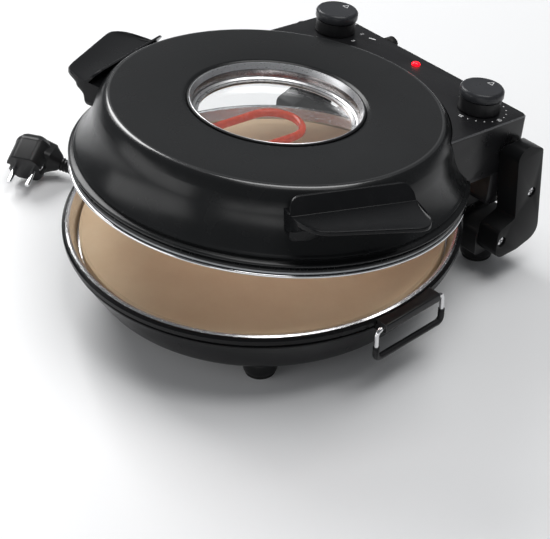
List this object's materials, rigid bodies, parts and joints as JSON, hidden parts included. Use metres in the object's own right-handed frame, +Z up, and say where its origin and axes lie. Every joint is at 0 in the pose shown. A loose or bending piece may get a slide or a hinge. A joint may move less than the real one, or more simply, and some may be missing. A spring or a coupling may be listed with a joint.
{
  "type": "pizza maker",
  "caption": "Round countertop electric pizza maker with a stone floor, a domed lid with a round window on a floating rear hinge, two dial knobs and drop handles.",
  "frame": {"origin": "middle of the footprint, without the cord, on the surface that the feet stand on", "axes": "+X to the right seen from the front, +Y to the rear where the hinge and controls are, +Z up"},
  "size_m": [0.488, 0.4352, 0.1951],
  "materials": {
    "base_paint": "satin",
    "lid_paint": "gloss",
    "galvanised_steel": "matte",
    "liner_steel": "satin",
    "ring_steel": "satin",
    "polished_steel": "polished",
    "screw_steel": "satin",
    "refractory_stone": "matte",
    "heater_steel": "matte",
    "window_glass": "gloss",
    "handle_plastic": "satin",
    "housing_plastic": "satin",
    "knob_plastic": "satin",
    "frame_plastic": "matte",
    "bush_plastic": "satin",
    "terminal_plastic": "matte",
    "control_plastic": "matte",
    "lamp_plastic": "gloss",
    "rubber": "matte",
    "sleeve_rubber": "satin",
    "cord_rubber": "satin"
  },
  "bodies": {
    "base": {"base_shell": "base_paint", "bottom_cover": "galvanised_steel", "cover_screws": "screw_steel", "steel_liner": "liner_steel", "pizza_stone": "refractory_stone", "lower_heater": "heater_steel", "lower_heater_clips": "galvanised_steel", "terminal_block": "terminal_plastic", "front_feet": "frame_plastic", "rear_feet": "frame_plastic", "foot_pads": "rubber", "bracket_right": "frame_plastic", "bracket_left": "frame_plastic", "arm_right": "handle_plastic", "arm_left": "handle_plastic", "hinge_screws": "screw_steel", "bail_bracket_right": "frame_plastic", "bail_bracket_left": "frame_plastic", "strain_relief": "cord_rubber", "cord_lead": "cord_rubber", "cord_coil": "cord_rubber", "cord_run": "cord_rubber", "cord_tie": "frame_plastic", "plug_body": "cord_rubber", "plug_pins": "polished_steel"},
    "hinge_slider": {"hinge_rod": "screw_steel", "hinge_bushes": "bush_plastic"},
    "lid": {"lid_shell": "lid_paint", "lid_ring": "ring_steel", "lid_liner": "liner_steel", "upper_heater": "heater_steel", "upper_heater_clips": "galvanised_steel", "window_trim": "polished_steel", "window_glass": "window_glass", "handle_right": "handle_plastic", "handle_left": "handle_plastic", "handle_screws": "screw_steel", "housing_shell": "housing_plastic", "housing_base": "housing_plastic", "hinge_lugs": "frame_plastic", "timer_body": "control_plastic", "thermostat_body": "galvanised_steel", "indicator_lamp": "lamp_plastic", "rear_bumpers": "rubber"},
    "heat_knob": {"heat_knob": "knob_plastic", "heat_shaft": "screw_steel"},
    "timer_knob": {"timer_knob": "knob_plastic", "timer_shaft": "screw_steel"},
    "bail_right": {"bail_wire_right": "polished_steel", "bail_sleeve_right": "sleeve_rubber"},
    "bail_left": {"bail_wire_left": "polished_steel", "bail_sleeve_left": "sleeve_rubber"}
  },
  "joints": [
    {"name": "lid_float", "type": "slide", "parent": "base", "child": "hinge_slider", "axis": [0, 0.342, 0.9397], "range_m": [-0.0158, 0]},
    {"name": "lid_tilt", "type": "hinge", "parent": "hinge_slider", "child": "lid", "pos_m": [0, 0.16756, 0.0813], "axis": [-1, 0, 0], "range_deg": [-7.76, 90]},
    {"name": "heat_turn", "type": "hinge", "parent": "lid", "child": "heat_knob", "pos_m": [-0.091, 0.15151, 0.14788], "axis": [0, 0.1351, 0.9908], "range_deg": [-270, 0]},
    {"name": "timer_turn", "type": "hinge", "parent": "lid", "child": "timer_knob", "pos_m": [0.091, 0.15151, 0.14788], "axis": [0, 0.1351, 0.9908], "range_deg": [-300, 0]},
    {"name": "bail_right_swing", "type": "hinge", "parent": "base", "child": "bail_right", "pos_m": [0.179, -0.01474, 0.064], "axis": [0, -1, 0], "range_deg": [0, 110]},
    {"name": "bail_left_swing", "type": "hinge", "parent": "base", "child": "bail_left", "pos_m": [-0.179, -0.01474, 0.064], "axis": [0, 1, 0], "range_deg": [0, 110]}
  ]
}
